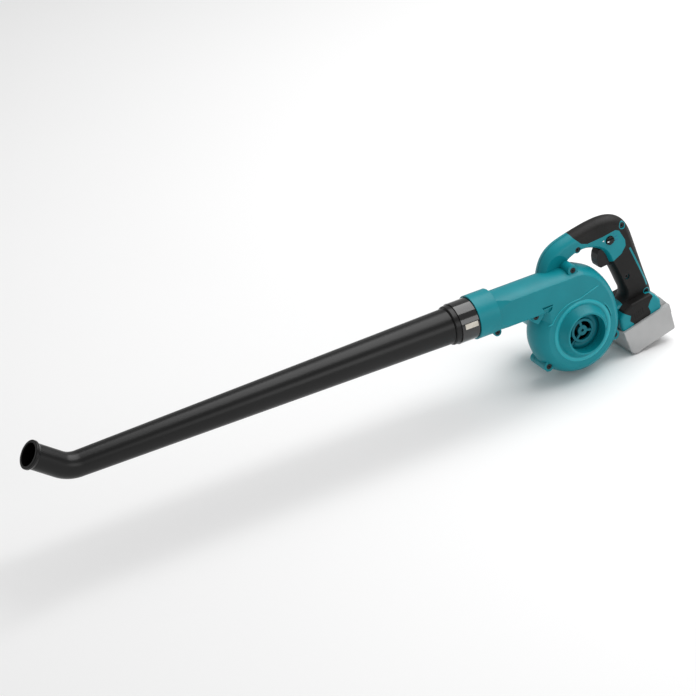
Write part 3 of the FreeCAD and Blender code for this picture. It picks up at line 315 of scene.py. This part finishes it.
def inlet_ridge():
    """Fine moulded ridge: a tick, an arc over the inlet, and a straight run up to the scroll's crease. It is
    coloured a lighter teal than the housing, a painted highlight on the ridge.
    """
    centre, radius = (-5.0, 0.0), 49.3
    curve = arc(centre, radius, 147.0, 85.0, 40)
    path = np.concatenate([line((-53.5, 25.5), (-47.0, 26.2), 8), curve, line((2.5, 50.0), (33.5, 59.5), 24)])
    bead("inlet_ridge", path, 0.95, 0.8, NEAR_FACE_Y, TEAL_PAINTED_HIGHLIGHT)


def alignment_marks():
    """Pair of fine curved lines beside the inlet: a raised bead in lighter teal as a painted highlight, and a dark
    strip of painted shadow standing for the shade in a groove.
    """
    bead("mark_raised", arc((0.0, 0.0), 49.6, 38.0, 8.0, 24), 0.55, 0.45, NEAR_FACE_Y, TEAL_PAINTED_HIGHLIGHT)
    # Dark strip: painted shadow of a groove beside the raised bead.
    bead("groove_painted_shadow", arc((0.0, 0.0), 48.0, 33.0, 6.0, 24), 0.45, 0.15, NEAR_FACE_Y, TEAL_LINE)


def guard_floor():
    """Sloping floor between the guard's ring and the throat, left open over a short sector low in front. It is in
    a darker copy of the teal, painted shade for its place deep in the inlet.
    """
    inner, outer = 18.0, THROAT_R - 0.3
    front, drop, thick = GUARD_LOW[1] + 1.9, 1.2, 1.2
    profile = [(inner, front), (outer, front + drop), (outer, front + drop + thick), (inner, front + thick)]
    turned("guard_floor", profile, TEAL_PAINTED_SHADE, start=-131.0, stop=193.0)


def parting_seam():
    """Thin dark line along the joint of the housing halves.

    Each outside edge of the near half that lies in the parting plane gets a flat bar with square ends."""
    mesh = frame["nodes"]["housing_near"].data
    mesh.calc_loop_triangles()
    corners = np.empty(len(mesh.loop_triangles) * 3, dtype=np.int32)
    mesh.loop_triangles.foreach_get("vertices", corners)
    places = np.empty(len(mesh.vertices) * 3)
    mesh.vertices.foreach_get("co", places)
    triangles = places.reshape(-1, 3)[corners.reshape(-1, 3)] / MM
    on_plane = np.abs(triangles[:, :, 1] - PARTING_Y) < 0.01
    triangles, on_plane = triangles[on_plane.sum(axis=1) == 2], on_plane[on_plane.sum(axis=1) == 2]
    off_corner = np.argmin(on_plane, axis=1)
    rows = np.arange(len(triangles))
    start = triangles[rows, (off_corner + 1) % 3]
    stop = triangles[rows, (off_corner + 2) % 3]
    normal = np.cross(triangles[:, 1] - triangles[:, 0], triangles[:, 2] - triangles[:, 0])
    normal[:, 1] = 0.0
    length = np.linalg.norm(normal, axis=1)
    keep = length > 1e-9
    start, stop, normal = start[keep], stop[keep], normal[keep] / length[keep, None]
    half_w, proud, sunk = np.array([0.0, 0.28, 0.0]), 0.06, 0.25
    layers = []
    for end in (start, stop):
        layers += [end - half_w - sunk * normal, end + half_w - sunk * normal, end + half_w + proud * normal,
                   end - half_w + proud * normal]
    bars = np.stack(layers, axis=1)
    sides = np.array([(0, 1, 5, 4), (1, 2, 6, 5), (2, 3, 7, 6), (3, 0, 4, 7), (3, 2, 1, 0), (4, 5, 6, 7)])
    faces = (sides[None] + 8 * np.arange(len(bars))[:, None, None]).reshape(-1, 4)
    mesh_piece("parting_seam", bars.reshape(-1, 3), faces.tolist(), TEAL_LINE, "machine", smooth=False)


# ---------------------------------------------------------------- handle and foot
def dial_marks():
    """White pointer before the dial and three blue bars of growing length after it."""
    x, z = DIAL[0], DIAL[2]
    face_y = HANDLE_NEAR_Y
    pointer = [(x - 12.6, z + 2.0), (x - 9.4, z + 3.6), (x - 9.4, z + 0.6)]
    round_bar("dial_arrow", pointer, face_y - 0.15, face_y + 0.3, WHITE, edge=0.1)
    for number, (bar_x, bar_z, length) in enumerate(((7.4, 8.8, 3.0), (10.8, 3.0, 4.0), (11.6, -2.6, 5.0))):
        half = length / 2
        bar = [(x + bar_x - half, z + bar_z - 0.5), (x + bar_x + half, z + bar_z - 0.1),
               (x + bar_x + half, z + bar_z + 0.8), (x + bar_x - half, z + bar_z + 0.4)]
        round_bar(f"dial_bar_{number + 1}", bar, face_y - 0.1, face_y + 0.3, BLUE, edge=0.1)


def saddle_ribs():
    """Six short upright ribs on the soft saddle over the foot, evenly spaced along the rail's direction."""
    pitch, half_w, low, high = 3.6, 0.6, 8.0, 17.0
    for number in range(6):
        along = (number - 3.4) * pitch
        corners = ((along - half_w, low), (along + half_w, low),
                   (along + half_w, high), (along - half_w, high))
        places = [RAIL_START + u * RAIL + v * RAIL_UP for u, v in corners]
        outline = [(place[0], place[2]) for place in places]
        round_bar(f"saddle_rib_{number + 1}", outline, FOOT_NEAR_Y - 0.4, FOOT_NEAR_Y + 0.3, GRIP, edge=0.25)


def studio():
    """Pale floor, even pale surround, and one large soft panel overhead with a weaker one in front."""
    low = cad_box[0][2] - 0.0005
    reach = 16.0
    corners = [(-reach, -reach, low), (reach, -reach, low), (reach, reach, low), (-reach, reach, low)]
    mesh = bpy.data.meshes.new("floor")
    mesh.from_pydata(corners, [], [(0, 1, 2, 3)])
    paper = finish("floor_paper", (0.90, 0.90, 0.90), (0.92, 0.92, 0.92), (0.85, 0.95), cloud=0.5)
    mesh.materials.append(paper)
    floor = bpy.data.objects.new("floor", mesh)
    bpy.context.scene.collection.objects.link(floor)
    world = bpy.data.worlds.new("surround")
    world.use_nodes = True
    world.node_tree.nodes["Background"].inputs["Color"].default_value = (1.0, 1.0, 1.0, 1.0)
    world.node_tree.nodes["Background"].inputs["Strength"].default_value = 0.46
    bpy.context.scene.world = world
    panels = (
        ("top_panel", (1.2, 0.2, 2.3), (-0.2, 0.05, 0.0), 2.6, 74.0),
        ("front_panel", (0.8, -2.6, 0.9), (-0.2, 0.05, 0.0), 1.2, 12.0),
    )
    for name, place, target, width, power in panels:
        light = bpy.data.lights.new(name, "AREA")
        light.shape = "SQUARE"
        light.size = width
        light.energy = power
        lamp = bpy.data.objects.new(name, light)
        bpy.context.scene.collection.objects.link(lamp)
        lamp.location = place
        lamp.rotation_euler = (Vector(target) - Vector(place)).to_track_quat("-Z", "Y").to_euler()
    bpy.context.scene.view_settings.view_transform = "Standard"


def camera():
    """Long-lens view from the inlet side, a little above and ahead of the tool, and tipped a few degrees."""
    azimuth, elevation, roll = math.radians(-24.22), math.radians(27.25), math.radians(-8.69)
    aim, distance = Vector((-0.34296, 0.054, 0.08202)), 4.08
    back = Vector((math.sin(azimuth) * math.cos(elevation), -math.cos(azimuth) * math.cos(elevation),
                   math.sin(elevation)))
    level = Vector((0, 0, 1)).cross(back).normalized()
    lifted = back.cross(level)
    right = math.cos(roll) * level + math.sin(roll) * lifted
    up = math.cos(roll) * lifted - math.sin(roll) * level
    lens = bpy.data.cameras.new("view")
    lens.lens = 155.2
    lens.sensor_width = 36.0
    lens.clip_end = 60.0
    viewer = bpy.data.objects.new("view", lens)
    bpy.context.scene.collection.objects.link(viewer)
    turn = Matrix((right, up, back)).transposed().to_4x4()
    viewer.matrix_world = Matrix.Translation(aim + back * distance) @ turn
    bpy.context.scene.camera = viewer


camera()
studio()
dress_cad_nodes()
inlet_foot_ring()
inlet_ridge()
alignment_marks()
guard_floor()
parting_seam()
dial_marks()
saddle_ribs()
